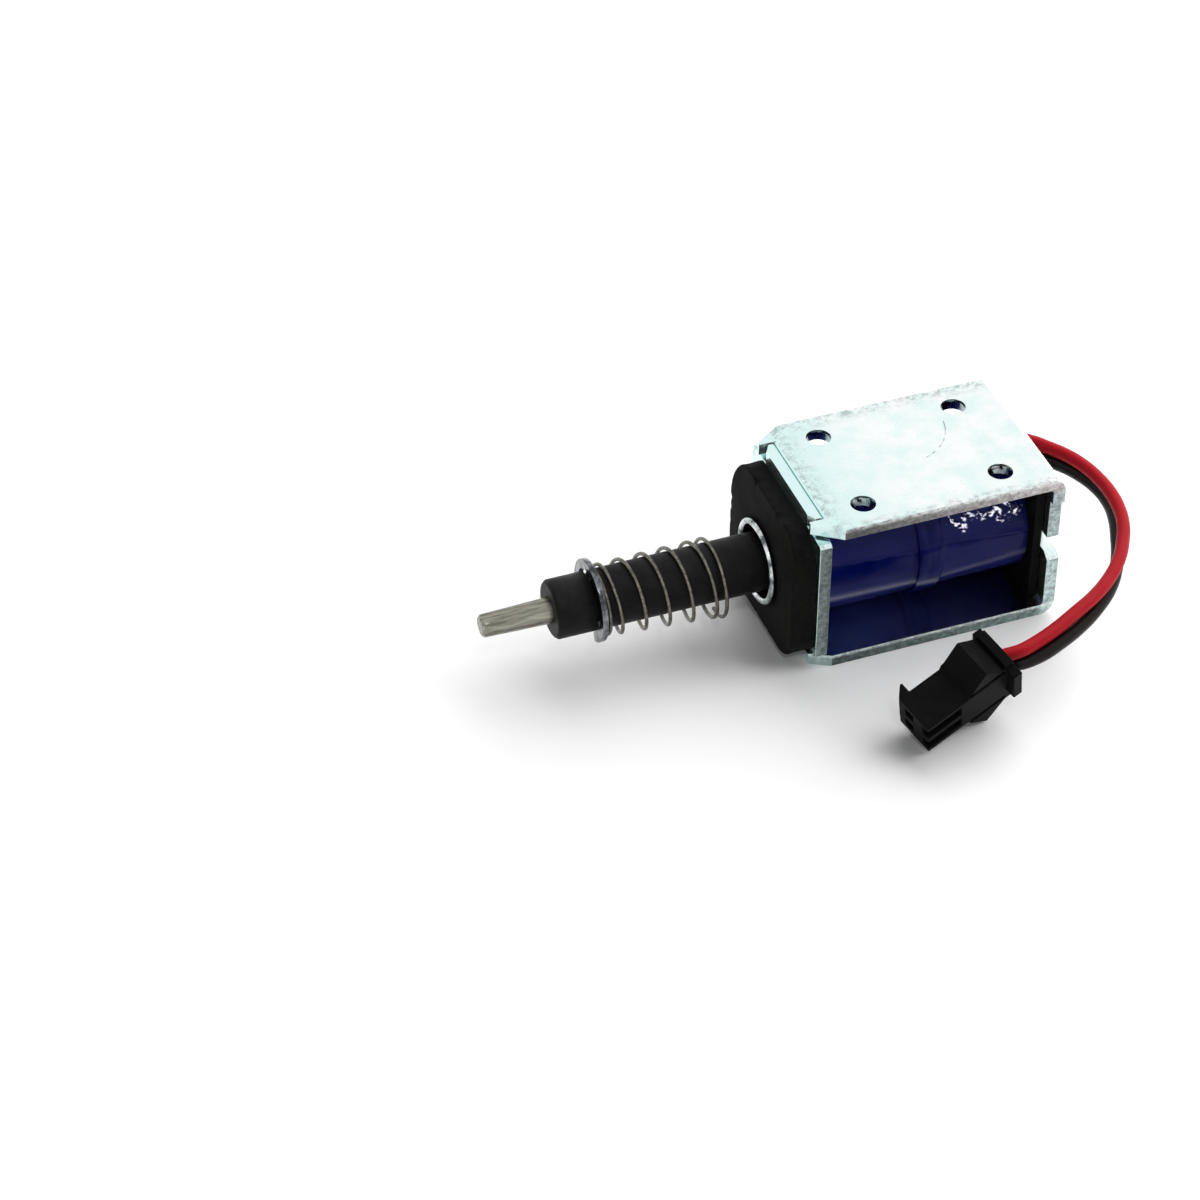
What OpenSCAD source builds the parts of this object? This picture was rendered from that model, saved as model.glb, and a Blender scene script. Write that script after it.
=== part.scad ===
// Open-frame push solenoid: a bent steel frame round a taped coil, a sprung
// plunger with a tapered push pin, and a short lead with a two-way connector.
// Millimetres. X runs along the plunger towards the push pin, Z is up, and the
// origin is the middle of the frame's underside.

/* [Frame] */
// Length from the back face to the face of the front plate
frame_len = 30.3; // [29:0.1:36]
// Width across the open sides
frame_w = 20.4; // [19.6:0.1:24]
// Height over the top and bottom plates
frame_h = 20; // [19:0.1:24]
// Thickness of the bent sheet and of the front plate
sheet = 1.5; // [1:0.1:1.8]
// Inside radius of the two bends
bend_r = 0.4; // [0.3:0.1:2]
// How far the plunger's axis lies below the frame's middle
axis_drop = 0.65; // [0:0.05:0.8]
// How far the ears reach past the front plate
ear_reach = 0.35; // [0.2:0.05:1]
// Width of the slot between two ears
ear_slot_w = 15; // [14:0.1:16]
// Corner cut of a top ear, along the frame
top_cut_x = 3.3; // [1:0.1:5]
// Corner cut of a top ear, across the frame
top_cut_y = 2.3; // [0.5:0.1:2.4]
// Corner cut of a bottom ear, along the frame
low_cut_x = 2.5; // [1:0.1:5]
// Corner cut of a bottom ear, across the frame
low_cut_y = 1.3; // [0.5:0.1:2.4]
// Edge break where the tabs show in their slots
edge_break = 0.3; // [0.1:0.05:0.5]

/* [Mounting holes] */
// Hole spacing along the frame
hole_dx = 17; // [12:0.1:19]
// Hole spacing across the frame
hole_dy = 13; // [9:0.1:14]
// Diameter of the holes
hole_d = 2.9; // [2:0.1:3.4]

/* [Wire notches] */
// Height of the lead's notch in the back plate's edge
notch_h = 3.5; // [3:0.1:4.5]
// Depth of a notch
notch_deep = 4.4; // [3.5:0.1:5]
// How far the lead's notch lies below the frame's middle
notch_drop = 0.15; // [0:0.05:0.6]
// Height of the free notch in the other edge
free_notch_h = 2.3; // [1.5:0.1:3.5]
// How far the free notch lies below the frame's middle
free_notch_drop = 0.05; // [0:0.05:0.6]
// Corner cut of the notch's lower lip, across the frame
lip_cut_y = 0.9; // [0.5:0.1:2]
// Corner cut of the notch's lower lip, downwards
lip_cut_z = 0.65; // [0.2:0.05:1]
// How far the plate's edge steps in above the notch
edge_step = 0.6; // [0.2:0.1:1]
// Full-width land left below the upper bend
bend_land = 1.7; // [0.3:0.1:2.5]

/* [Front plate] */
// Gap under the plate's lower shoulders
low_gap = 0.1; // [0.05:0.05:0.6]
// Gap over the plate's upper shoulders
top_gap = 0.3; // [0.05:0.05:0.6]
// Corner cut of the shoulders
shoulder_cut = 0.4; // [0.2:0.1:1]
// Side gap of a tab in its slot
tab_gap = 0.3; // [0.1:0.1:0.6]
// Corner cut of a tab, through the plate
tab_cut_x = 0.65; // [0.2:0.05:0.9]
// Corner cut of a tab, across the frame
tab_cut_y = 1.1; // [0.4:0.1:2]

/* [Rubber bumper] */
// Thickness of the pad
pad_t = 2.9; // [2:0.1:4]
// How far the pad's sides lie inside the frame's sides
pad_side = 0.6; // [0.2:0.1:1.5]
// Height of the pad's lower edge above the frame's underside
pad_low = 0.7; // [0.5:0.1:2]
// How far the pad's upper edge lies below the frame's top
pad_down = 2; // [1.8:0.1:3]
// Corner radius of the pad
pad_r = 5; // [4:0.1:6]

/* [Guide eyelet] */
// Inside diameter of the eyelet
eyelet_d = 8.7; // [8:0.1:9.2]
// Wall of the eyelet's tube
eyelet_wall = 0.4; // [0.3:0.05:0.6]
// Thickness of the rolled lip
lip_d = 0.85; // [0.7:0.05:1.2]

/* [Coil] */
// Gap between the taped coil and the frame's plates
coil_gap = 0.15; // [0.05:0.05:0.6]
// Thickness of one wrap of tape
tape_t = 0.3; // [0.1:0.05:0.4]
// Width of the overlap between the two wraps
tape_lap = 2.7; // [0.6:0.1:3]
// Where the rear wrap ends, in front of the frame's middle
tape_edge = 1.3; // [-3:0.1:3]
// Wall of the bobbin's tube
bobbin_wall = 0.9; // [0.6:0.05:1.2]
// Thickness of the bobbin's flanges
flange_t = 1.1; // [0.8:0.1:1.6]
// Width of the bobbin's rear flange
flange_w = 16.8; // [15.5:0.1:18]

/* [Fixed core] */
// Diameter of the rivet that holds the core
rivet_d = 4; // [3:0.1:5]
// Diameter of the rivet's head
rivet_head_d = 5.4; // [5.2:0.1:7]
// Height of the rivet's head
rivet_head_t = 0.4; // [0.2:0.1:0.8]

/* [Plunger] */
// Diameter of the plunger
plunger_d = 7; // [6.6:0.1:7.4]
// Length of the plunger without its cone
plunger_len = 37.6; // [35:0.1:38.5]
// How far the plunger stands in front of the front plate
plunger_out = 28.7; // [27:0.1:30]
// Travel from the stored position to the fixed core
stroke = 10; // [6:0.5:10]
// Gap left to the fixed core at the end of the travel
core_gap = 0.4; // [0.2:0.1:1]
// Base diameter of the cone on the plunger's inner end
cone_d = 5; // [3:0.1:6]
// Height of that cone
cone_h = 2.5; // [1:0.1:3]
// Edge break on the plunger's outer end
plunger_cut = 0.35; // [0.1:0.05:0.8]

/* [Push pin] */
// Diameter of the pin where it leaves the plunger
pin_d = 3.1; // [2.8:0.1:3.6]
// Diameter of the pin at its tip
pin_tip_d = 2.7; // [2:0.1:2.7]
// Length of the pin outside the plunger
pin_len = 8.3; // [6:0.1:11]
// Depth of the pin in the plunger
pin_seat = 6; // [4:0.1:9]
// Edge break on both ends of the pin
pin_cut = 0.3; // [0.1:0.05:0.5]

/* [Retaining clip] */
// Outside diameter of the clip
clip_od = 9.8; // [9.4:0.1:11]
// Thickness of the clip
clip_t = 0.7; // [0.5:0.05:0.9]
// Distance from the plunger's outer end to the clip
clip_back = 4.75; // [3.5:0.05:8]
// Diameter of the plunger's groove
groove_d = 5; // [4.4:0.1:5.6]
// Gap between the clip's arc and the plunger
clip_clear = 0.3; // [0.1:0.05:0.5]
// Width of the three teeth that sit in the groove
tooth_w = 1.9; // [1:0.1:2.4]
// Half of the clip's opening, in degrees
clip_open = 50; // [30:1:60]
// How far the clip is turned on the plunger, in degrees
clip_turn = 64; // [0:1:359]

/* [Return spring] */
// Outside diameter of the spring's end at the clip
spring_od = 8.4; // [8.2:0.1:8.8]
// Outside diameter of the spring's end at the eyelet
spring_wide_od = 9.8; // [9:0.1:10]
// Diameter of the spring's wire
spring_wire = 0.45; // [0.3:0.05:0.5]
// Free length of the spring
spring_len = 14.9; // [12:0.1:16]
// Open turns between the two closed ends
spring_turns = 4.2; // [3:0.1:6]
// Turns of the closed end at the clip
clip_turns = 1.1; // [0.5:0.1:1.5]
// Turns of the closed end at the eyelet
rest_turns = 1.2; // [0.5:0.1:1.5]
// Pitch of the closed ends
end_pitch = 1.1; // [0.75:0.05:1.4]

/* [Lead] */
// Diameter of one insulated wire
wire_d = 1.6; // [1:0.1:1.6]
// Width of the taped bundle where the wires leave the coil
wrap_w = 4.6; // [4.1:0.1:5]
// How far the bundle is pressed onto the tape of the coil
wrap_sink = 0.2; // [0.1:0.05:0.6]
// How far the taped bundle reaches behind the back plate
wrap_out = 1.15; // [0.5:0.05:2]
// Length of the taped bundle along the coil
wrap_len = 6.6; // [5.5:0.1:9]
// Distance of the soldered joints from the back plate
splice_in = 0.95; // [0.5:0.05:2]
// Diameter of a soldered joint
splice_d = 1.3; // [0.8:0.1:1.4]
// Length of a soldered joint
splice_len = 3.6; // [2:0.1:4]

/* [Connector] */
// Length of the housing
plug_len = 12.3; // [12:0.1:14]
// Width of the housing's nose
plug_w = 5.1; // [4.6:0.1:6]
// Height of the housing's nose
plug_h = 5.5; // [5.2:0.1:6.5]
// Length of the nose
nose_len = 5.7; // [4.5:0.1:6]
// Length of the ramp behind the nose
ramp_len = 2.7; // [2.5:0.1:3.8]
// Height over the two finger grips
grip_h = 11.8; // [9:0.1:12]
// Height of the housing in front of its rear flange
rear_h = 7.2; // [6.6:0.1:8]
// Thickness of the rear flange, its wing and its hooks
wing_t = 1.2; // [0.8:0.1:1.6]
// Spacing of the two contacts
pitch = 2.5; // [2.3:0.1:2.8]
// Width of a contact's mouth
mouth_w = 1.3; // [1:0.1:1.5]
// Height of a contact's mouth
mouth_h = 1.5; // [1.2:0.1:1.7]
// Sideways step from the wire to the contact's mouth
mouth_step = 0.8; // [0:0.1:0.8]
// Diameter of a wire's hole in the rear flange
entry_d = 2; // [1.8:0.05:2.1]
// Depth of a wire in the housing
entry_deep = 2.3; // [1.5:0.1:3]

/* [Hidden] */
$fn = 64;

// Overcut of every hole and slot
cut = 1;
// Gap round pieces that are pressed or slipped together
fit_gap = 0.05;
// Gap round the plunger in the bobbin
slide_gap = 0.1;
// Gap round the pressed pin and between the pin's seat and the hole's floor
press_gap = 0.02;

// Planes and heights of the frame
axis_z = frame_h / 2 - axis_drop;
x_back = -frame_len / 2;
x_front = frame_len / 2;
in_back = x_back + sheet;
in_front = x_front - sheet;
x_ear = x_front + ear_reach;
side = frame_w / 2;
notch_z = frame_h / 2 - notch_drop;
free_notch_z = frame_h / 2 - free_notch_drop;

// Radii of the coil, from the outside in
lap_r = axis_z - sheet - coil_gap;
tape_r = lap_r - tape_t - fit_gap;
coil_r = tape_r - tape_t;
bore_r = plunger_d / 2 + slide_gap;
tube_r = bore_r + bobbin_wall;
x_flange_front = in_front - fit_gap - flange_t;
x_flange_rear = in_back + fit_gap + flange_t;

// Eyelet and bumper
eyelet_r = eyelet_d / 2 + eyelet_wall;
x_pad = x_front + pad_t;
pad_w = frame_w - 2 * pad_side;
pad_h = frame_h - pad_down - pad_low;
pad_z = pad_low + pad_h / 2;

// Plunger and what it carries
x_nose = x_front + plunger_out;
x_tail = x_nose - plunger_len;
x_core = x_tail - stroke - core_gap;
x_clip = x_nose - clip_back - clip_t;
clip_in_r = plunger_d / 2 + clip_clear;
// Angle of the two end teeth from the middle one
tooth_angle = 180 - clip_open - 20;
all_turns = clip_turns + spring_turns + rest_turns;
open_pitch = (spring_len - spring_wire - (clip_turns + rest_turns) * end_pitch) / spring_turns;
spring_steps = 20;
cord_sides = 8;

// Taped bundle at the side of the coil
wrap_h = notch_h - 4 * fit_gap;
wrap_y = wrap_sink - tape_r - fit_gap - wrap_w / 2;
x_wrap = x_back - wrap_out;
x_wrap_front = in_back + wrap_len;
wire_bore = wire_d + fit_gap;
// Sideways and upward place of the red wire from the bundle's middle
wire_place = [-0.7, 0.55];
x_splice = in_back + splice_in;

// Connector: place of the middle of its nose, and its lie
plug_at = [10.1, 26.4, 3.7];
plug_turn = [-14.5, 17, 13.5];
// Latch ramp on the nose: length, reach, and its ends above the middle
latch_len = 1.5;
latch_reach = 1.3;
latch_top = plug_h / 2;
latch_low = -1.6;
// Wing and hooks of the rear flange
wing_reach = 1.5;
hook_reach = 0.7;
hook_h = 1.4;
flange_top = 4.3;
wing_top = 3.7;
wing_low = -1.2;
hook_low = -1.9;
// Grooves in the nose's side and slots under the finger grips
groove_len = 4.8;
groove_deep = 1;
groove_h = 1.6;
slot_h = 0.5;
slot_deep = 0.9;
// Contacts: where the box ends, the wall of the box and the barrel
box_end = -6.6;
box_start = -1;
contact_gap = 0.05;
contact_wall = 0.25;
barrel_d = 1.5;

// Start of a wire, straight through the taped bundle
function wire_start(flip) = [for (x = [x_splice, x_wrap - 2 * fit_gap])
    [x, wrap_y + flip * wire_place[0], notch_z + flip * wire_place[1]]];
// Routes of the two wires, from the soldered joint to the contact
red_route = concat(wire_start(1), [
    [-18.3, -9.7, 10.4], [-20.1, -8.2, 10.5], [-21.5, -6.2, 10.6], [-22.7, -4.2, 10.7],
    [-23.7, -1.9, 10.7], [-24.4, 0.8, 10.6], [-24.7, 3.8, 10.4], [-24.4, 6.6, 10.3],
    [-23.7, 9.2, 10.1], [-22.4, 11.8, 9.8], [-20.7, 14.3, 9.6], [-18.3, 16.7, 9.3],
    [-15.4, 18.8, 9.1], [-12.3, 20.5, 9], [-8.9, 22.2, 8.8], [-5.9, 23.4, 8.7],
    [-3.5, 24.1, 8.7], [-1.1, 24, 8.4], [0.9, 24.5, 7.8]]);
black_route = concat(wire_start(-1), [
    [-17.8, -8.6, 9.2], [-19.6, -7.6, 9], [-21.2, -5.9, 9], [-22.6, -4.1, 9],
    [-23.7, -1.9, 9], [-24.5, 0.7, 8.9], [-24.8, 3.7, 8.7], [-24.5, 6.5, 8.6],
    [-23.8, 9.1, 8.4], [-22.7, 11.8, 8.1], [-21.2, 14.5, 8], [-18.9, 17.3, 7.8],
    [-16, 19.7, 7.8], [-12.8, 21.5, 7.7], [-9.3, 23.1, 7.5], [-6.2, 24.2, 7.3],
    [-3.8, 24.2, 6.9], [-1.7, 23.2, 6.2], [0.4, 23.7, 5.5]]);

// Colours as the object shows them
zinc = "#c3cfcf";
rubber = "#1c1c1c";
bright = "#d6dcdd";
nylon = "#191919";
copper = "#b4673a";
tape_blue = "#232070";
solder = "#b9bab4";
steel = "#8b8b86";
black_oxide = "#1e1e1e";
clip_steel = "#8f929a";
spring_steel = "#86837a";
red_pvc = "#b01c2e";
black_pvc = "#1a1a1a";
tin = "#c9c6b8";

// A round bar on the plunger's axis, from x0 to x1
module rod(r, x0, x1) {
    along_x() translate([0, 0, x0]) cylinder(r = r, h = x1 - x0);
}

// Turns Z shapes to lie on the plunger's axis
module along_x() {
    translate([0, 0, axis_z]) rotate([0, 90, 0]) children();
}

// Extrudes a (y, z) outline along X
module slab(x0, t) {
    translate([x0, 0, 0]) rotate([90, 0, 90]) linear_extrude(t) children();
}

// Rectangle whose two back corners are round
module back_rounded(x0, z0, x1, z1, r) {
    translate([x0 + r, z0]) square([x1 - x0 - r, z1 - z0]);
    translate([x0, z0 + r]) square([x1 - x0, z1 - z0 - 2 * r]);
    for (z = [z0 + r, z1 - r]) translate([x0 + r, z]) circle(r);
}

// Rectangle about the origin with four round corners
module rounded(w, h, r) {
    square([w - 2 * r, h], center = true);
    square([w, h - 2 * r], center = true);
    for (y = [-1, 1], z = [-1, 1]) translate([y * (w / 2 - r), z * (h / 2 - r)]) circle(r);
}

// One edge notch of the back plate, with the step in the edge above it
module notch_outline(z, h) {
    slope = lip_cut_z / lip_cut_y;
    low = z - h / 2;
    polygon([[side - notch_deep, low], [side - lip_cut_y, low],
        [side + cut, low - slope * (lip_cut_y + cut)], [side + cut, low + h],
        [side - notch_deep, low + h]]);
    step_top = frame_h - sheet - bend_r - bend_land;
    translate([side - edge_step, z]) square([edge_step + cut, step_top - z]);
}

// Bent strip: top plate, back plate and bottom plate in one
module c_frame() {
    x_slot = in_front - fit_gap;
    color(zinc) difference() {
        rotate([90, 0, 0]) linear_extrude(frame_w, center = true) difference() {
            back_rounded(x_back, 0, x_ear, frame_h, bend_r + sheet);
            back_rounded(in_back, sheet, x_ear + cut, frame_h - sheet, bend_r);
        }
        rotate([90, 0, 0]) linear_extrude(ear_slot_w, center = true)
            polygon([[x_slot - edge_break - cut, -cut], [x_slot, edge_break],
                [x_slot, frame_h - edge_break], [x_slot - edge_break - cut, frame_h + cut],
                [x_ear + cut, frame_h + cut], [x_ear + cut, -cut]]);
        for (m = [0, 1]) mirror([0, m, 0]) {
            translate([0, 0, frame_h / 2]) linear_extrude(frame_h) ear_corner(top_cut_x, top_cut_y);
            translate([0, 0, -frame_h / 2]) linear_extrude(frame_h) ear_corner(low_cut_x, low_cut_y);
        }
        slab(x_back - cut, sheet + 2 * cut) notch_outline(free_notch_z, free_notch_h);
        mirror([0, 1, 0]) slab(x_back - cut, sheet + 2 * cut) notch_outline(notch_z, notch_h);
        for (x = [-1, 1], y = [-1, 1])
            translate([x * hole_dx / 2, y * hole_dy / 2, frame_h - sheet - cut])
                cylinder(d = hole_d, h = sheet + 2 * cut);
        rod(rivet_d / 2 + fit_gap, x_back - cut, in_back + cut);
    }
}

// What is cut off the outer corner of an ear
module ear_corner(cut_x, cut_y) {
    slope = cut_y / cut_x;
    polygon([[x_ear - cut_x, side], [x_ear + cut, side - cut_y - slope * cut],
        [x_ear + cut, side + cut], [x_ear - cut_x, side + cut]]);
}

// End plate, held by a tab in the ear slot of each plate
module front_plate() {
    z_low = sheet + low_gap;
    z_top = frame_h - sheet - top_gap;
    root = ear_slot_w / 2 - tab_gap;
    color(zinc) difference() {
        union() {
            slab(in_front, sheet) polygon([[-side, z_low + shoulder_cut], [-side + shoulder_cut, z_low],
                [side - shoulder_cut, z_low], [side, z_low + shoulder_cut],
                [side, z_top - shoulder_cut], [side - shoulder_cut, z_top],
                [-side + shoulder_cut, z_top], [-side, z_top - shoulder_cut]]);
            intersection() {
                linear_extrude(frame_h) polygon([[in_front, -root], [x_front - tab_cut_x, -root],
                    [x_front, tab_cut_y - root], [x_front, root - tab_cut_y],
                    [x_front - tab_cut_x, root], [in_front, root]]);
                rotate([90, 0, 0]) linear_extrude(frame_w, center = true)
                    polygon([[in_front + edge_break, 0], [x_front, 0], [x_front, frame_h],
                        [in_front + edge_break, frame_h], [in_front, frame_h - edge_break],
                        [in_front, edge_break]]);
            }
        }
        rod(eyelet_r + fit_gap, in_front - cut, x_front + cut);
    }
}

// Pad that cushions the spring's end of the frame
module rubber_bumper() {
    color(rubber) slab(x_front, pad_t) difference() {
        translate([0, pad_z]) rounded(pad_w, pad_h, pad_r);
        translate([0, axis_z]) circle(eyelet_r + fit_gap);
    }
}

// Tube through the bumper and the front plate, with a rolled lip in front
module guide_eyelet() {
    color(bright) along_x() rotate_extrude() {
        translate([eyelet_d / 2, in_front]) square([eyelet_wall, x_pad - in_front + lip_d / 2]);
        translate([eyelet_d / 2 + lip_d / 2, x_pad + lip_d / 2]) circle(d = lip_d);
    }
}

// Moulded spool: tube, round front flange, rear flange with a lead slot
module bobbin() {
    color(nylon) difference() {
        union() {
            rod(tube_r, in_back + fit_gap, in_front - fit_gap);
            rod(coil_r - fit_gap, x_flange_front, in_front - fit_gap);
            rotate([90, 0, 0]) linear_extrude(flange_w, center = true) intersection() {
                back_rounded(in_back + fit_gap, sheet + fit_gap, x_front, frame_h - sheet - fit_gap, bend_r);
                translate([in_back, 0]) square([flange_t + fit_gap, frame_h]);
            }
        }
        rod(bore_r, x_back, x_front);
        translate([in_back - cut, wrap_y - wrap_w, notch_z - wrap_h / 2 - fit_gap])
            cube([flange_t + 2 * cut, 1.5 * wrap_w + fit_gap, wrap_h + 2 * fit_gap]);
    }
}

// Enamelled copper wound on the spool
module winding() {
    color(copper) along_x() rotate_extrude()
        translate([tube_r + fit_gap, x_flange_rear + fit_gap])
            square([coil_r - tube_r - 2 * fit_gap, x_flange_front - x_flange_rear - 2 * fit_gap]);
}

// Front wrap of tape, which also covers the rim of the front flange
module front_tape() {
    x0 = tape_edge - tape_lap;
    color(tape_blue) along_x() rotate_extrude()
        translate([coil_r, x0]) square([tape_t, in_front - fit_gap - x0]);
}

// Rear wrap of tape, whose edge laps over the front wrap
module rear_tape() {
    x0 = x_flange_rear + fit_gap;
    x1 = tape_edge - tape_lap - fit_gap;
    color(tape_blue) along_x() rotate_extrude()
        polygon([[coil_r, x0], [tape_r, x0], [tape_r, x1 - tape_t], [lap_r, x1],
            [lap_r, tape_edge], [lap_r - tape_t, tape_edge], [lap_r - tape_t, x1], [coil_r, x1]]);
}

// Places children at the red wire, or turned half round at the black one
module at_wire(which) {
    flip = which == "red" ? 1 : -1;
    translate([0, wrap_y + flip * wire_place[0], notch_z + flip * wire_place[1]])
        rotate([0, 90, 0]) children();
}

// Tape round the soldered ends and the start of the two wires
module lead_wrap() {
    slope_x = wrap_w / 2;
    color(tape_blue) difference() {
        slab(x_wrap, x_wrap_front - x_wrap) translate([wrap_y, notch_z])
            rounded(wrap_w, wrap_h, wrap_h / 2 - fit_gap);
        rod(tape_r + fit_gap, x_flange_rear - 2 * fit_gap, x_front);
        translate([x_wrap_front - slope_x, wrap_y - wrap_w / 2, notch_z])
            rotate([0, 0, 45]) translate([0, -2 * wrap_w, -wrap_h])
                cube([2 * wrap_w, 2 * wrap_w, 2 * wrap_h]);
        for (w = ["red", "black"]) at_wire(w)
            translate([0, 0, x_wrap - cut])
                cylinder(d = wire_bore, h = x_splice - x_wrap + cut + splice_len);
    }
}

// Soldered joint between an end of the coil and a wire
module splice(which) {
    color(solder) at_wire(which) translate([0, 0, x_splice]) cylinder(d = splice_d, h = splice_len);
}

module red_splice() {
    splice("red");
}

module black_splice() {
    splice("black");
}

// Steel stop in the rear of the bobbin, riveted through the back plate
module fixed_core() {
    color(steel) difference() {
        union() {
            rod(bore_r - fit_gap, in_back, x_core);
            rod(rivet_d / 2, x_back - rivet_head_t, in_back + cut);
            rod(rivet_head_d / 2, x_back - rivet_head_t, x_back);
        }
        along_x() translate([0, 0, x_core - cone_h])
            cylinder(r1 = 0, r2 = cone_d / 2, h = cone_h);
    }
}

// Plunger with a coned inner end, a clip groove and a hole for the pin
module plunger() {
    r = plunger_d / 2;
    groove_back = x_clip - fit_gap;
    groove_front = x_clip + clip_t + fit_gap;
    color(black_oxide) difference() {
        along_x() rotate_extrude() polygon([[0, x_tail - cone_h], [cone_d / 2, x_tail], [r, x_tail],
            [r, groove_back], [groove_d / 2, groove_back], [groove_d / 2, groove_front],
            [r, groove_front], [r, x_nose - plunger_cut], [r - plunger_cut, x_nose], [0, x_nose]]);
        rod(pin_d / 2 + press_gap, x_nose - pin_seat - press_gap, x_nose + cut);
    }
}

// Tapered steel pin pressed into the plunger's end
module push_pin() {
    r0 = pin_d / 2;
    r1 = pin_tip_d / 2;
    x0 = x_nose - pin_seat;
    x1 = x_nose + pin_len;
    color(steel) along_x() rotate_extrude() polygon([[0, x0], [r0 - pin_cut, x0], [r0, x0 + pin_cut],
        [r0, x_nose], [r1, x1 - pin_cut], [r1 - pin_cut, x1], [0, x1]]);
}

// Open ring with three teeth that snap into the plunger's groove
module e_clip() {
    reach = clip_od * sin(clip_open);
    color(clip_steel) slab(x_clip, clip_t) translate([0, axis_z]) rotate(clip_turn) {
        difference() {
            circle(d = clip_od);
            circle(clip_in_r);
            polygon([[0, 0], [-clip_od * cos(clip_open), reach], [-clip_od * cos(clip_open), -reach]]);
        }
        for (a = [0, tooth_angle, -tooth_angle]) rotate(a)
            translate([groove_d / 2 + fit_gap, -tooth_w / 2])
                square([clip_in_r - groove_d / 2 + clip_clear, tooth_w]);
    }
}

// Distance along the spring after a number of turns
function spring_at(t) = t < clip_turns ? end_pitch * t
    : t < clip_turns + spring_turns ? end_pitch * clip_turns + open_pitch * (t - clip_turns)
    : spring_len - spring_wire - end_pitch * (all_turns - t);

// Radius of the coil after a number of turns: it widens towards the eyelet
function spring_r(t) = (spring_od + (spring_wide_od - spring_od) * t / all_turns - spring_wire) / 2;

// Height of the coil's middle after a number of turns: the spring hangs on the plunger
function spring_z(t) = axis_z + plunger_d / 2 + fit_gap - (spring_r(t) - spring_wire / 2);

// Ring of the wire's corners after a number of turns
function spring_ring(t) = let(a = 360 * t, x = x_clip - spring_wire / 2 - press_gap - spring_at(t))
    [for (i = [0 : cord_sides - 1]) let(b = 360 * i / cord_sides, r = spring_r(t) + spring_wire / 2 * cos(b))
        [x + spring_wire / 2 * sin(b), r * sin(a), spring_z(t) + r * cos(a)]];

// Coil spring between the clip and the eyelet, right-hand wound, ends closed
module return_spring() {
    color(spring_steel) tube([for (k = [0 : round(all_turns * spring_steps)]) spring_ring(k / spring_steps)]);
}

// Closed skin over a row of equal rings
module tube(rings) {
    n = len(rings[0]);
    last = (len(rings) - 1) * n;
    polyhedron(points = [for (r = rings) each r], faces = concat(
        [[for (i = [0 : n - 1]) i]],
        [for (k = [0 : len(rings) - 2], i = [0 : n - 1]) let(j = (i + 1) % n)
            [k * n + i, (k + 1) * n + i, (k + 1) * n + j, k * n + j]],
        [[for (i = [n - 1 : -1 : 0]) last + i]]));
}

function unit(v) = v / norm(v);

// Ring of a level-running wire at point k of its route
function wire_ring(route, k) =
    let(a = route[max(k - 1, 0)], b = route[min(k + 1, len(route) - 1)], t = unit(b - a),
        s = unit(cross([0, 0, 1], t)), u = cross(t, s))
    [for (i = [0 : cord_sides - 1]) let(q = 360 * i / cord_sides)
        route[k] + wire_d / 2 * (cos(q) * u + sin(q) * s)];

module wire(route) {
    tube([for (k = [0 : len(route) - 1]) wire_ring(route, k)]);
}

module red_wire() {
    color(red_pvc) wire(red_route);
}

module black_wire() {
    color(black_pvc) wire(black_route);
}

// Puts the connector's pieces where it lies; its nose points along +X
module at_plug() {
    translate(plug_at) rotate(plug_turn) children();
}

// Extrudes an (x, z) outline across the connector
module across(w) {
    rotate([90, 0, 0]) linear_extrude(w, center = true) children();
}

// Box between two corners
module block(a, b) {
    translate(a) cube(b - a);
}

// Moulded two-way housing: nose, finger grips, rear flange, latch ramp
module connector_housing() {
    w = plug_w / 2;
    h = plug_h / 2;
    x_grip = -nose_len - ramp_len;
    x_wing = -plug_len + wing_t;
    color(nylon) at_plug() difference() {
        union() {
            block([-plug_len, -w, -h], [0, w, h]);
            across(plug_w) polygon([[-nose_len, h], [x_grip, grip_h / 2], [x_wing, rear_h / 2],
                [x_wing, -rear_h / 2], [x_grip, -grip_h / 2], [-nose_len, -h]]);
            block([-plug_len, -w, -rear_h / 2], [x_wing, w, flange_top]);
            block([-plug_len, 0, wing_low], [x_wing, w + wing_reach, wing_top]);
            for (z = [wing_top - hook_h, hook_low])
                block([-plug_len, -w - hook_reach, z], [x_wing, 0, z + hook_h]);
            translate([0, 0, latch_low]) linear_extrude(latch_top - latch_low)
                polygon([[0, 0], [0, -w], [-0.8 * latch_len, -w - latch_reach], [-latch_len, -w - latch_reach],
                    [-latch_len, 0]]);
        }
        for (m = [0, 1]) mirror([0, 0, m]) {
            block([x_wing, w - slot_deep, h], [-nose_len - slot_h, w + cut, h + slot_h]);
            block([x_wing, -w - cut, h], [-nose_len - slot_h, -w + slot_deep, h + slot_h]);
            block([-groove_len, w - groove_deep, pitch / 2 - groove_h / 2],
                [cut, w + cut, pitch / 2 + groove_h / 2]);
            contact_cavity();
        }
    }
}

// Room for one contact and its wire, above the housing's middle
module contact_cavity() {
    translate([0, -mouth_step, pitch / 2]) block([box_end - contact_gap, -mouth_w / 2, -mouth_h / 2],
        [cut, mouth_w / 2, mouth_h / 2]);
    translate([-plug_len - cut, 0, pitch / 2]) rotate([0, 90, 0]) {
        cylinder(d = entry_d, h = entry_deep + cut);
        cylinder(d = barrel_d + 2 * contact_gap,
            h = plug_len + cut + box_end + contact_wall + contact_gap);
    }
}

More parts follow.
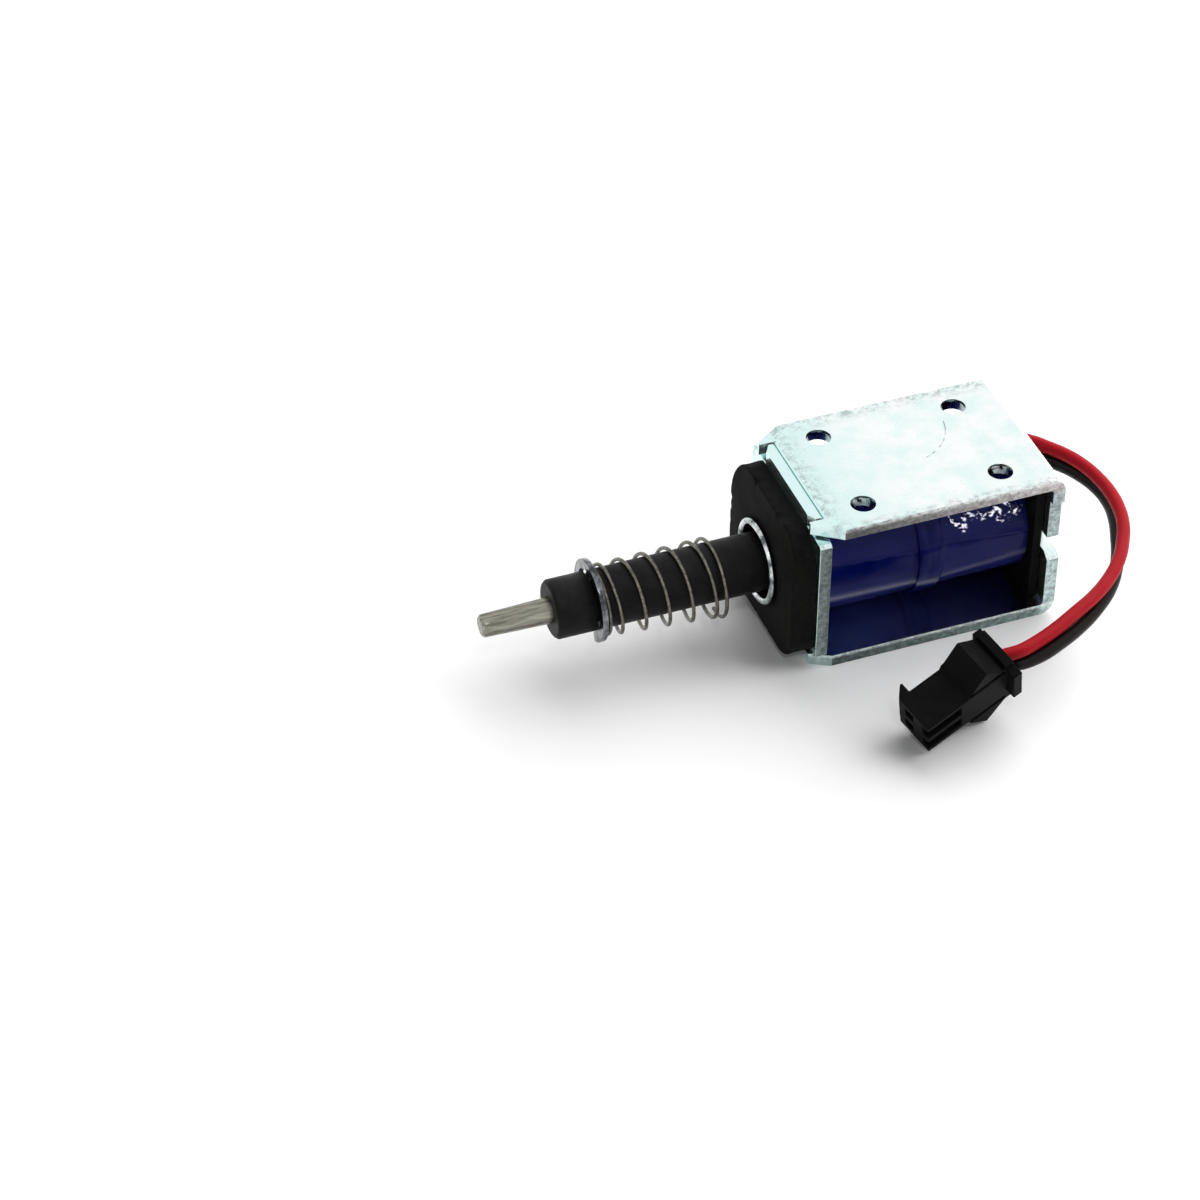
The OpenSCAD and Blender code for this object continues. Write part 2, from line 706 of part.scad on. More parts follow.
// Crimped socket: a square box in the mouth and a barrel on the wire
module contact() {
    w = mouth_w / 2 - contact_gap;
    h = mouth_h / 2 - contact_gap;
    difference() {
        union() {
            translate([0, -mouth_step, pitch / 2]) block([box_end, -w, -h], [box_start, w, h]);
            translate([-plug_len + entry_deep + contact_gap, 0, pitch / 2]) rotate([0, 90, 0])
                cylinder(d = barrel_d, h = plug_len - entry_deep - contact_gap + box_end + contact_wall);
        }
        translate([0, -mouth_step, pitch / 2])
            block([box_end + 2 * contact_wall, contact_wall - w, contact_wall - h],
                [box_start + cut, w - contact_wall, h - contact_wall]);
    }
}

module red_contact() {
    color(tin) at_plug() contact();
}

module black_contact() {
    color(tin) at_plug() mirror([0, 0, 1]) contact();
}

c_frame();
front_plate();
rubber_bumper();
guide_eyelet();
bobbin();
winding();
front_tape();
rear_tape();
lead_wrap();
red_splice();
black_splice();
fixed_core();
plunger();
push_pin();
e_clip();
return_spring();
red_wire();
black_wire();
connector_housing();
red_contact();
black_contact();
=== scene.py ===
# %% [markdown]
# # A small push solenoid
# The object is an electromagnet of the open-frame kind: a bent steel strip holds
# a taped coil, and a black plunger with a spring and a push pin slides in it.
# The sizes come from a CAD model that is loaded first. The CAD pieces keep their
# shape, and this lesson gives them their finish. Tape, rubber, spring and wires
# are made again here, because their small irregularities are what the eye reads.

# %% Load the frame
import math

import bmesh
import bpy
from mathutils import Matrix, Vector, noise


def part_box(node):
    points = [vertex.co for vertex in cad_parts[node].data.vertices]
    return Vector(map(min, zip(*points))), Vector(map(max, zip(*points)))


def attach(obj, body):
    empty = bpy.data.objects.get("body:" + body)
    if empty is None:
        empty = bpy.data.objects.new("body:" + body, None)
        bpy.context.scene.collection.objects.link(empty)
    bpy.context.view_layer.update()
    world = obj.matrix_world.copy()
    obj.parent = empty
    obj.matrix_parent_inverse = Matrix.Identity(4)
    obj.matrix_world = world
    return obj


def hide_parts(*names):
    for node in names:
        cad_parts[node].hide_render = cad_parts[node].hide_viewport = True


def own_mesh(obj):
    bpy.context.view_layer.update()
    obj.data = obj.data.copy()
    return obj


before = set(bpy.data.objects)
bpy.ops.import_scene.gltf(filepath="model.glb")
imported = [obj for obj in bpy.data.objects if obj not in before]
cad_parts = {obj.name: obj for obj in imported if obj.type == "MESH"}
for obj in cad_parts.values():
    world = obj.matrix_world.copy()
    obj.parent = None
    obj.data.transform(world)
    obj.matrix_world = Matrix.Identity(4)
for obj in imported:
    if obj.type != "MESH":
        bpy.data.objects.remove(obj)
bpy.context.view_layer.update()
MM = 0.001
print("CAD pieces:", sorted(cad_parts))

# %% [markdown]
# ## Camera
# The photograph was taken from above and in front of the open side, with a long
# lens. A fit of the hole pattern and the frame's corners gave the place, the two
# angles and the focal length for a square picture on a 36 mm sensor.

# %% Camera
CAMERA_AT = (144.85, 292.55, 273.88)
LOOKS_DOWN = 40.365
CAMERA_TURN = 159.886
SENSOR = 36
LENS = 107.75
camera_data = bpy.data.cameras.new("camera")
camera_data.sensor_width = SENSOR
camera_data.lens = LENS
camera_data.clip_start = 10 * MM
camera = bpy.data.objects.new("camera", camera_data)
camera.location = Vector(CAMERA_AT) * MM
camera.rotation_euler = (math.radians(90 - LOOKS_DOWN), 0, math.radians(CAMERA_TURN))
bpy.context.scene.collection.objects.link(camera)
bpy.context.scene.camera = camera
print("camera stands", round(camera.location.length, 3), "m from the origin")

# %% [markdown]
# ## Colour and node helpers
# Colours are written as the hex values one reads in a picture, and one function
# turns them to the linear values that Blender mixes. A second small function adds
# a shader node with its settings, values and links in one call, and hands back
# the output that the next node needs.


# %% Helpers for materials
def linear(hex_code):
    parts = [int(hex_code[i : i + 2], 16) / 255 for i in (1, 3, 5)]
    return [p / 12.92 if p <= 0.04045 else ((p + 0.055) / 1.055) ** 2.4 for p in parts] + [1]


def add(tree, kind, inputs=None, out=0, **settings):
    node = tree.nodes.new(kind)
    for name, value in settings.items():
        setattr(node, name, value)
    for socket, value in (inputs or {}).items():
        if isinstance(value, bpy.types.NodeSocket):
            tree.links.new(value, node.inputs[socket])
        else:
            node.inputs[socket].default_value = value
    return node.outputs[out]


def finish(name, **values):
    material = bpy.data.materials.new(name)
    material.use_nodes = True
    shader = material.node_tree.nodes["Principled BSDF"]
    for socket, value in values.items():
        shader.inputs[socket.replace("_", " ")].default_value = value
    return material, material.node_tree, shader


def per_mm(size):
    """Scale of a texture whose features are that many millimetres across."""
    return 1 / (size * MM)


MIX = {"kind": "ShaderNodeMix", "out": 2, "data_type": "RGBA"}
print("white in linear light:", linear("#ffffff"))

# %% [markdown]
# ## Wires
# The lead is two PVC-insulated wires, red above black. They are soft, so they are
# curves: one open spline each, with a round bevel. The points are the ones that
# the CAD solids follow, from the soldered joint to the crimped contact. Only on
# the outer bend does the black wire lie a little further in, under the red one,
# because that is how the photograph shows it.

# %% Wire routes
WIRE_D = 1.6
RED_ROUTE = [
    (-12.7, -10.2, 10.4), (-16.4, -10.2, 10.4), (-18.3, -9.7, 10.4), (-20.1, -8.2, 10.5),
    (-21.5, -6.2, 10.6), (-22.7, -4.2, 10.7), (-23.7, -1.9, 10.7), (-24.4, 0.8, 10.6),
    (-24.7, 3.8, 10.4), (-24.4, 6.6, 10.3), (-23.7, 9.2, 10.1), (-22.4, 11.8, 9.8),
    (-20.7, 14.3, 9.6), (-18.3, 16.7, 9.3), (-15.4, 18.8, 9.1), (-12.3, 20.5, 9),
    (-8.9, 22.2, 8.8), (-5.9, 23.4, 8.7), (-3.5, 24.1, 8.7), (-1.1, 24, 8.4), (0.9, 24.5, 7.8),
]
BLACK_ROUTE = [
    (-12.7, -8.8, 9.3), (-16.4, -8.8, 9.3), (-17.8, -8.6, 9.2), (-19.6, -7.6, 9),
    (-21.2, -5.9, 9), (-22.6, -4.1, 9), (-23.7, -1.9, 9), (-24.5, 0.7, 8.9),
    (-24.7, 3.7, 8.7), (-24.1, 6.5, 8.6), (-23.1, 9.1, 8.4), (-21.9, 11.8, 8.1),
    (-20.4, 14.4, 8), (-18.4, 16.9, 7.7), (-15.8, 19.2, 7.6), (-12.7, 21.3, 7.5),
    (-9.3, 23.1, 7.5), (-6.2, 24.2, 7.3), (-3.8, 24.2, 6.9), (-1.7, 23.2, 6.2), (0.4, 23.7, 5.5),
]
print("each wire follows", len(RED_ROUTE), "points")


# %% The two cords
HANDLED_DULL = 0.15


def insulated_wire(name, route, node, material):
    curve = bpy.data.curves.new(name, "CURVE")
    curve.dimensions = "3D"
    curve.bevel_depth = WIRE_D / 2 * MM
    curve.bevel_resolution = 5
    curve.use_fill_caps = True
    spline = curve.splines.new("BEZIER")
    spline.bezier_points.add(len(route) - 1)
    for knot, point in zip(spline.bezier_points, route):
        knot.co = Vector(point) * MM
        knot.handle_left_type = knot.handle_right_type = "AUTO"
    spline.resolution_u = 8
    curve.materials.append(material)
    wire = bpy.data.objects.new(name, curve)
    bpy.context.scene.collection.objects.link(wire)
    bpy.context.view_layer.update()
    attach(wire, "frame")
    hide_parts(node)


def pvc(name, clean, rubbed, roughness, level):
    """Extruded PVC insulation: an even skin, faintly clouded and duller where it was handled."""
    material, tree, shader = finish(name, IOR=1.53, Specular_IOR_Level=level)
    place = add(tree, "ShaderNodeTexCoord", out="Object")
    handled = add(tree, "ShaderNodeTexNoise", {"Vector": place, "Scale": per_mm(3), "Detail": 3})
    colour = add(tree, inputs={0: handled, 6: linear(clean), 7: linear(rubbed)}, **MIX)
    tree.links.new(colour, shader.inputs["Base Color"])
    dull = add(tree, "ShaderNodeMapRange", {
        "Value": handled, "To Min": roughness, "To Max": roughness + HANDLED_DULL})
    tree.links.new(dull, shader.inputs["Roughness"])
    return material


red_pvc = pvc("red_pvc_insulation", "#9c0816", "#a9111f", 0.4, 0.12)
black_pvc = pvc("black_pvc_insulation", "#090505", "#130a0a", 0.3, 0.15)
insulated_wire(
    "red_lead", RED_ROUTE, "red_wire", red_pvc
)
insulated_wire("black_lead", BLACK_ROUTE, "black_wire", black_pvc)

# %% [markdown]
# ## Studio
# The picture is a product shot on white: a pale floor, a large soft light above,
# a smaller one in front and fainter light from all round. The floor adds a little
# of its own white for the camera and for mirror-like rays, and more of it far from
# the part, where the lamps hardly reach. So the background is white from every
# side and the soft shadow stays.

# %% Floor and sky
# lengths of the studio are metres
FLOOR_HALF = 1.5
FLOOR_CORNERS = ((-1, -1), (1, -1), (1, 1), (-1, 1))
FLOOR_LIFT = 0.05
FAR_LIFT = 0.5
LIFT_STARTS = 0.2
LIFT_FULL = 0.8
SKY_FILL = 0.1
floor_mesh = bpy.data.meshes.new("floor")
floor_mesh.from_pydata(
    [(x * FLOOR_HALF, y * FLOOR_HALF, 0) for x, y in FLOOR_CORNERS], [], [(0, 1, 2, 3)]
)
floor = bpy.data.objects.new("floor", floor_mesh)
bpy.context.scene.collection.objects.link(floor)


def shows_background(tree):
    """1 for rays that see the background: from the camera, a mirror or glass."""
    seen = add(tree, "ShaderNodeLightPath", out="Is Camera Ray")
    path = seen.node.outputs
    for ray in ("Is Glossy Ray", "Is Transmission Ray"):
        seen = add(tree, "ShaderNodeMath", {0: seen, 1: path[ray]}, operation="MAXIMUM")
    return seen


paper, tree, shader = finish(
    "white_paper", Base_Color=linear("#fafafa"), Roughness=0.9,
    Specular_IOR_Level=0, Emission_Color=linear("#ffffff"),
)
place = add(tree, "ShaderNodeTexCoord", out="Object")
far_out = add(tree, "ShaderNodeVectorMath", {0: place}, out="Value", operation="LENGTH")
lift = add(tree, "ShaderNodeMapRange", {
    "Value": far_out, "From Min": LIFT_STARTS, "From Max": LIFT_FULL,
    "To Min": FLOOR_LIFT, "To Max": FAR_LIFT})
glow = add(tree, "ShaderNodeMath", {0: shows_background(tree), 1: lift}, operation="MULTIPLY")
tree.links.new(glow, shader.inputs["Emission Strength"])
floor_mesh.materials.append(paper)

world = bpy.data.worlds.new("studio")
bpy.context.scene.world = world
world.use_nodes = True
tree = world.node_tree
level = add(tree, "ShaderNodeMapRange", {
    "Value": shows_background(tree), "To Min": SKY_FILL, "To Max": 1.0})
tree.links.new(level, tree.nodes["Background"].inputs["Strength"])
tree.nodes["Background"].inputs["Color"].default_value = linear("#ffffff")
print("paper floor and white sky")


# %% Lamps
def soft_light(name, place, aim, size, watts):
    lamp = bpy.data.lights.new(name, "AREA")
    lamp.shape = "ELLIPSE"
    lamp.size, lamp.size_y = size
    lamp.energy = watts
    obj = bpy.data.objects.new(name, lamp)
    obj.location = place
    obj.rotation_euler = (Vector(aim) - Vector(place)).to_track_quat("-Z", "Y").to_euler()
    bpy.context.scene.collection.objects.link(obj)
    return obj


softbox = soft_light(
    "overhead_softbox", place=(-0.56, -0.28, 0.66), aim=(0.01, 0, 0), size=(2.2, 1.4), watts=24
)
# mirrors see the white sky in its place, so pale metal does not burn out
softbox.visible_glossy = False
soft_light(
    "front_lamp", place=(0.1, 0.36, 0.46), aim=(0, 0, 0.01), size=(0.02, 0.02), watts=0.23
)
bpy.context.scene.view_settings.view_transform = "Standard"
print("softbox above, small lamp in front")

# %% [markdown]
# ## Zinc-plated steel
# Zinc plating is the finish that shows most. A thin zinc coat over rolled sheet is
# pale, slightly blue-green and cloudy. Where the strip was sheared, the edge is
# duller and streaked along the cut. The mask between both is the direction of the
# surface itself, so it stays in place from every side. Handling leaves grey
# smudges, mostly towards the long edges. The coat is built up in layers, one short
# cell each. Places are in the part's own axes: length to the pin, across to the
# open side, height above the floor.


# %% Zinc coat: clouds of 3 mm, specks of 0.35 mm, bluer towards the front
BLUER = (2 * MM, 13 * MM)
zinc, tree, zinc_shader = finish("bright_zinc_plating", Metallic=1.0)
place = add(tree, "ShaderNodeTexCoord", out="Object")
facing = place.node.outputs["Normal"]
length = add(tree, "ShaderNodeSeparateXYZ", {0: place}, out="X")
across = length.node.outputs["Y"]
height = length.node.outputs["Z"]
clouds = add(tree, "ShaderNodeTexNoise", {"Vector": place, "Scale": per_mm(3), "Detail": 4})
clouds = add(tree, "ShaderNodeMapRange", {"Value": clouds, "From Min": 0.36, "From Max": 0.62})
coat = add(tree, inputs={0: clouds, 6: linear("#e8f9f8"), 7: linear("#fbfefe")}, **MIX)
bluer = add(tree, "ShaderNodeMapRange", {
    "Value": length, "From Min": BLUER[0], "From Max": BLUER[1], "To Max": 0.75})
coat = add(tree, inputs={0: bluer, 6: coat, 7: linear("#d4f3f2")}, **MIX)
specks = add(tree, "ShaderNodeTexNoise", {"Vector": place, "Scale": per_mm(0.35), "Detail": 2})
specks = add(tree, "ShaderNodeMapRange", {
    "Value": specks, "From Min": 0.58, "From Max": 0.74, "To Max": 0.14})
coat = add(tree, inputs={0: specks, 6: coat, 7: linear("#a9bfbe")}, **MIX)
print("zinc coat")

# %% Rub marks along the far edge, along the near edge and beside the front tab
FAR_RUB = (-7.9 * MM, -9.7 * MM)
NEAR_RUB = (9 * MM, 9.8 * MM)
TAB_RUB = (10.6 * MM, 13 * MM)
CLEAN_TAB = 13.4 * MM
far = add(tree, "ShaderNodeMapRange", {
    "Value": across, "From Min": FAR_RUB[0], "From Max": FAR_RUB[1]})
near = add(tree, "ShaderNodeMapRange", {
    "Value": across, "From Min": NEAR_RUB[0], "From Max": NEAR_RUB[1], "To Max": 0.8})
beside = add(tree, "ShaderNodeMapRange", {
    "Value": length, "From Min": TAB_RUB[0], "From Max": TAB_RUB[1]})
clean_tab = add(tree, "ShaderNodeMath", {0: length, 1: CLEAN_TAB}, operation="LESS_THAN")
beside = add(tree, "ShaderNodeMath", {0: beside, 1: clean_tab}, operation="MULTIPLY")
border = add(tree, "ShaderNodeMath", {0: far, 1: near}, operation="MAXIMUM")
border = add(tree, "ShaderNodeMath", {0: border, 1: beside}, operation="MAXIMUM")
rubbed = add(tree, "ShaderNodeTexNoise", {
    "Vector": place, "Scale": per_mm(1.1), "Detail": 6, "Roughness": 0.75})
rubbed = add(tree, "ShaderNodeMapRange", {
    "Value": rubbed, "From Min": 0.45, "From Max": 0.62, "To Max": 0.6})
rubbed = add(tree, "ShaderNodeMath", {0: rubbed, 1: border}, operation="MULTIPLY")
coat = add(tree, inputs={0: rubbed, 6: coat, 7: linear("#87918e")}, **MIX)
print("rub marks")

# %% The inside of the bottom plate: painted shade under the top plate and the coil, darker towards the rear
INSIDE_SHADE_SPAN = (12 * MM, -10 * MM)
BELOW_COIL = 5 * MM
face_up = add(tree, "ShaderNodeSeparateXYZ", {0: facing}, out="Z")
face_up = add(tree, "ShaderNodeMath", {0: face_up, 1: 0.5}, operation="GREATER_THAN")
bottom = add(tree, "ShaderNodeMath", {0: height, 1: BELOW_COIL}, operation="LESS_THAN")
# painted shade: the up-facing inside of the bottom plate, below the coil, darkens towards the rear
painted_inside_shade = add(tree, "ShaderNodeMapRange", {
    "Value": length, "From Min": INSIDE_SHADE_SPAN[0], "From Max": INSIDE_SHADE_SPAN[1], "To Max": 0.75})
painted_inside_shade = add(tree, "ShaderNodeMath", {0: painted_inside_shade, 1: bottom}, operation="MULTIPLY")
painted_inside_shade = add(tree, "ShaderNodeMath", {0: painted_inside_shade, 1: face_up}, operation="MULTIPLY")
coat = add(tree, inputs={0: painted_inside_shade, 6: coat, 7: linear("#5c605a")}, **MIX)
print("dull inside")

# %% One broken, curved scratch on the top plate: part of a ring, of which a noise leaves some
SCRATCH_AT = (0.61 * MM, -5.28 * MM, 20 * MM)
SCRATCH_R = 6.9 * MM
SCRATCH_MID = (-4.4 * MM, -1.6 * MM, 20 * MM)
SCRATCH_REACH = 4 * MM
SCRATCH_SIDE = (0.1 * MM, 0.04 * MM)
DISTANCE = {"kind": "ShaderNodeVectorMath", "out": "Value", "operation": "DISTANCE"}
ring = add(tree, inputs={0: place, 1: SCRATCH_AT}, **DISTANCE)
ring = add(tree, "ShaderNodeMath", {0: ring, 1: SCRATCH_R}, operation="SUBTRACT")
ring = add(tree, "ShaderNodeMath", {0: ring}, operation="ABSOLUTE")
ring = add(tree, "ShaderNodeMapRange", {
    "Value": ring, "From Min": SCRATCH_SIDE[0], "From Max": SCRATCH_SIDE[1]})
reach = add(tree, inputs={0: place, 1: SCRATCH_MID}, **DISTANCE)
reach = add(tree, "ShaderNodeMath", {0: reach, 1: SCRATCH_REACH}, operation="LESS_THAN")
broken = add(tree, "ShaderNodeTexNoise", {"Vector": place, "Scale": per_mm(0.9), "Detail": 1})
broken = add(tree, "ShaderNodeMapRange", {
    "Value": broken, "From Min": 0.4, "From Max": 0.6, "To Max": 0.7})
ring = add(tree, "ShaderNodeMath", {0: ring, 1: reach}, operation="MULTIPLY")
ring = add(tree, "ShaderNodeMath", {0: ring, 1: broken}, operation="MULTIPLY")
coat = add(tree, inputs={0: ring, 6: coat, 7: linear("#6f7d7b")}, **MIX)
print("scratch of radius", round(SCRATCH_R / MM, 1), "mm")

# %% Sheared edge: streaks along the strip, browner on the upper plate, paler towards the rear
STREAK_PULL = (0.5, 1, 0.6)
STRIP_ENDS = (14.5 * MM, -14.5 * MM)
BACK_BEND = (-12.8 * MM, -13.6 * MM)
FRONT_EAR = (12.8 * MM, 14.4 * MM)
UPPER_PLATE = (17.5 * MM, 18.5 * MM)
pulled = add(tree, "ShaderNodeVectorMath", {0: place, 1: STREAK_PULL}, operation="MULTIPLY")
streaks = add(tree, "ShaderNodeTexNoise", {
    "Vector": pulled, "Scale": per_mm(0.35), "Detail": 5, "Roughness": 0.75})
streaks = add(tree, "ShaderNodeMapRange", {
    "Value": streaks, "From Min": 0.36, "From Max": 0.66, "To Min": 0.5, "To Max": 1.35})
rear = add(tree, "ShaderNodeMapRange", {
    "Value": length, "From Min": STRIP_ENDS[0], "From Max": STRIP_ENDS[1]})
upper = add(tree, inputs={0: rear, 6: linear("#686c6b"), 7: linear("#c8c4c5")}, **MIX)
lower = add(tree, inputs={0: rear, 6: linear("#566160"), 7: linear("#93a3a2")}, **MIX)
back = add(tree, "ShaderNodeMapRange", {
    "Value": length, "From Min": BACK_BEND[0], "From Max": BACK_BEND[1]})
front = add(tree, "ShaderNodeMapRange", {
    "Value": length, "From Min": FRONT_EAR[0], "From Max": FRONT_EAR[1]})
lower = add(tree, inputs={0: front, 6: lower, 7: linear("#8d9896")}, **MIX)
lower = add(tree, inputs={0: back, 6: lower, 7: linear("#bccfce")}, **MIX)
top = add(tree, "ShaderNodeMapRange", {
    "Value": height, "From Min": UPPER_PLATE[0], "From Max": UPPER_PLATE[1]})
edge = add(tree, inputs={0: top, 6: lower, 7: upper}, **MIX)
edge = add(tree, inputs={0: 1, 6: edge, 7: streaks}, blend_type="MULTIPLY", **MIX)
print("sheared edge")

# %% Upper rims of the sheared edges, on both plates: a painted highlight along the rounded rim, broken up by the streaks
TOP_RIM_HIGHLIGHT = (19.35 * MM, 19.75 * MM)
LOW_RIM_HIGHLIGHT = (1 * MM, 1.35 * MM)
LOWER_PLATE = 1.6 * MM
top_rim_highlight = add(tree, "ShaderNodeMapRange", {
    "Value": height, "From Min": TOP_RIM_HIGHLIGHT[0], "From Max": TOP_RIM_HIGHLIGHT[1]})
low_rim_highlight = add(tree, "ShaderNodeMapRange", {
    "Value": height, "From Min": LOW_RIM_HIGHLIGHT[0], "From Max": LOW_RIM_HIGHLIGHT[1]})
plate_low = add(tree, "ShaderNodeMath", {0: height, 1: LOWER_PLATE}, operation="LESS_THAN")
low_rim_highlight = add(tree, "ShaderNodeMath", {0: low_rim_highlight, 1: plate_low}, operation="MULTIPLY")
rim = add(tree, "ShaderNodeMath", {0: top_rim_highlight, 1: low_rim_highlight}, operation="MAXIMUM")
bright = add(tree, "ShaderNodeMapRange", {
    "Value": streaks, "From Min": 0.6, "From Max": 1.1, "To Min": 0.3, "To Max": 0.9})
rim = add(tree, "ShaderNodeMath", {0: rim, 1: bright}, operation="MULTIPLY")
# painted highlight: the rims of the cut edges are mixed towards near white
edge = add(tree, inputs={0: rim, 6: edge, 7: linear("#eef6f5")}, **MIX)
print("bright rim")

# %% Where the steel was cut: dull edges that face sideways
sideways = add(tree, "ShaderNodeSeparateXYZ", {0: facing}, out="Y")
upright = sideways.node.outputs["Z"]
sideways = add(tree, "ShaderNodeMath", {0: sideways}, operation="ABSOLUTE")
sheared = add(tree, "ShaderNodeMapRange", {"Value": sideways, "From Min": 0.8, "From Max": 0.95})
colour = add(tree, inputs={0: sheared, 6: coat, 7: edge}, **MIX)
rough = add(tree, "ShaderNodeMapRange", {"Value": sheared, "To Min": 0.2, "To Max": 0.5})
print("cut edges")

# %% Hole walls: upright and between the two ends, where the punch left the steel grey and smooth
HOLES_WITHIN = (12.5 * MM, 9 * MM)
upright = add(tree, "ShaderNodeMath", {0: upright}, operation="ABSOLUTE")
upright = add(tree, "ShaderNodeMapRange", {"Value": upright, "From Min": 0.4, "From Max": 0.15})
along = add(tree, "ShaderNodeMath", {0: length}, operation="ABSOLUTE")
between = add(tree, "ShaderNodeMath", {0: along, 1: HOLES_WITHIN[0]}, operation="LESS_THAN")
inward = add(tree, "ShaderNodeMath", {0: across}, operation="ABSOLUTE")
inward = add(tree, "ShaderNodeMath", {0: inward, 1: HOLES_WITHIN[1]}, operation="LESS_THAN")
punched = add(tree, "ShaderNodeMath", {0: upright, 1: between}, operation="MULTIPLY")
punched = add(tree, "ShaderNodeMath", {0: punched, 1: inward}, operation="MULTIPLY")
colour = add(tree, inputs={0: punched, 6: colour, 7: linear("#9aa6a8")}, **MIX)
rough = add(tree, "ShaderNodeMix", {0: punched, 2: rough, 3: 0.15})
tree.links.new(colour, zinc_shader.inputs["Base Color"])
tree.links.new(rough, zinc_shader.inputs["Roughness"])
print("zinc plating has", len(tree.nodes), "nodes")


# %% Put a finish on a CAD piece and break its edges by so many millimetres
WELD_GAP = 0.001 * MM
FLAT_WITHIN = math.radians(1)
SHARP_FROM = math.radians(40)


def dress(node, material, edge=0.0, clamp=True):
    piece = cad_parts[node]
    piece.data.materials.clear()
    piece.data.materials.append(material)
    if edge:
        weld = piece.modifiers.new("join_faces", "WELD")
        weld.merge_threshold = WELD_GAP
        flat = piece.modifiers.new("whole_faces", "DECIMATE")
        flat.decimate_type = "DISSOLVE"
        flat.angle_limit = FLAT_WITHIN
        bevel = piece.modifiers.new("broken_edge", "BEVEL")
        bevel.width = edge * MM
        bevel.segments = 2
        bevel.use_clamp_overlap = clamp
        bevel.limit_method = "ANGLE"
        bevel.angle_limit = SHARP_FROM
        bevel.harden_normals = True
    print(node, "gets", material.name)


dress("c_frame", zinc, 0.2)
dress("front_plate", zinc, 0.12)

# %% [markdown]
# ## Black pieces
# The plunger is blackened steel, the bobbin and the plug are moulded nylon and the
# bumper is cut from black rubber sheet. All are near black, so what tells them
# apart is the faint cloud in the colour and how tight the highlight is.


# %% Blackened steel, moulded nylon and cut rubber, all with a skin of fine pits
PIT_SIZE = 0.25
PIT_DEPTH = 0.03


def near_black(name, dark, pale, grain, roughness, level):
    material, tree, shader = finish(name, Roughness=roughness, Specular_IOR_Level=level)
    place = add(tree, "ShaderNodeTexCoord", out="Object")
    worn = add(tree, "ShaderNodeTexNoise", {
        "Vector": place, "Scale": per_mm(grain), "Detail": 4, "Roughness": 0.65})
    worn = add(tree, "ShaderNodeMapRange", {"Value": worn, "From Min": 0.4, "From Max": 0.68})
    colour = add(tree, inputs={0: worn, 6: linear(dark), 7: linear(pale)}, **MIX)
    tree.links.new(colour, shader.inputs["Base Color"])
    pits = add(tree, "ShaderNodeTexNoise", {
        "Vector": place, "Scale": per_mm(PIT_SIZE), "Detail": 2})
    bump = add(tree, "ShaderNodeBump", {
        "Height": pits, "Strength": 0.25, "Distance": PIT_DEPTH * MM})
    tree.links.new(bump, shader.inputs["Normal"])
    return material


oxide = near_black("black_oxide_on_steel", "#161616", "#212121", 2.5, 0.45, 0.07)
nylon = near_black("moulded_black_nylon", "#070707", "#0d0d0d", 1.5, 0.6, 0.06)
rubber = near_black("cut_black_rubber", "#0c0c0b", "#161615", 1.2, 0.75, 0.08)
dress("plunger", oxide, 0.1)
dress("bobbin", nylon, 0.1)
# the housing has very short edges between its steps, which would clamp the bevel to nothing
dress("connector_housing", nylon, 0.12, clamp=False)

# %% [markdown]
# ## Bright and grey metals
# The eyelet is plated brass with a mirror-like roll. The pin is turned steel, so
# its marks run along it where it slid in its seat. The core's rear end was hammered
# over as a rivet, which leaves it smooth. The clip is stamped spring steel and the
# spring is drawn wire, dull and slightly olive.


# %% Plated, turned, stamped and drawn metal
def metal(name, dark, pale, grain, pull, roughness):
    material, tree, shader = finish(name, Metallic=1.0, Roughness=roughness)
    place = add(tree, "ShaderNodeTexCoord", out="Object")
    pulled = add(tree, "ShaderNodeVectorMath", {0: place, 1: pull}, operation="MULTIPLY")
    marks = add(tree, "ShaderNodeTexNoise", {
        "Vector": pulled, "Scale": per_mm(grain), "Detail": 4, "Roughness": 0.6})
    marks = add(tree, "ShaderNodeMapRange", {"Value": marks, "From Min": 0.38, "From Max": 0.64})
    colour = add(tree, inputs={0: marks, 6: linear(dark), 7: linear(pale)}, **MIX)
    tree.links.new(colour, shader.inputs["Base Color"])
    return material


nickel = metal("nickel_plating", "#5d6364", "#eef3f4", 1.3, (1, 1, 1), 0.12)
turned = metal("turned_steel", "#6b6a60", "#9f9d92", 0.4, (0.1, 1, 1), 0.3)
upset = metal("riveted_steel", "#7f8382", "#a4a7a5", 1.6, (1, 1, 1), 0.32)
stamped = metal("stamped_spring_steel", "#3f4145", "#8b8e94", 1.2, (1, 1, 1), 0.2)
drawn = metal("drawn_spring_steel", "#57554c", "#7d7a6f", 0.5, (1, 1, 1), 0.34)
tin = metal("tin_plating", "#a7a497", "#cfccbe", 0.4, (1, 1, 1), 0.35)
copper = metal("copper_wire_enamel", "#8f4a26", "#b96c3e", 0.3, (1, 1, 1), 0.3)
dress("guide_eyelet", nickel)
dress("push_pin", turned, 0.08)
dress("e_clip", stamped, 0.06)
dress("fixed_core", upset, 0.08)
dress("winding", copper)
for node in ("red_splice", "black_splice", "red_contact", "black_contact"):
    dress(node, tin)
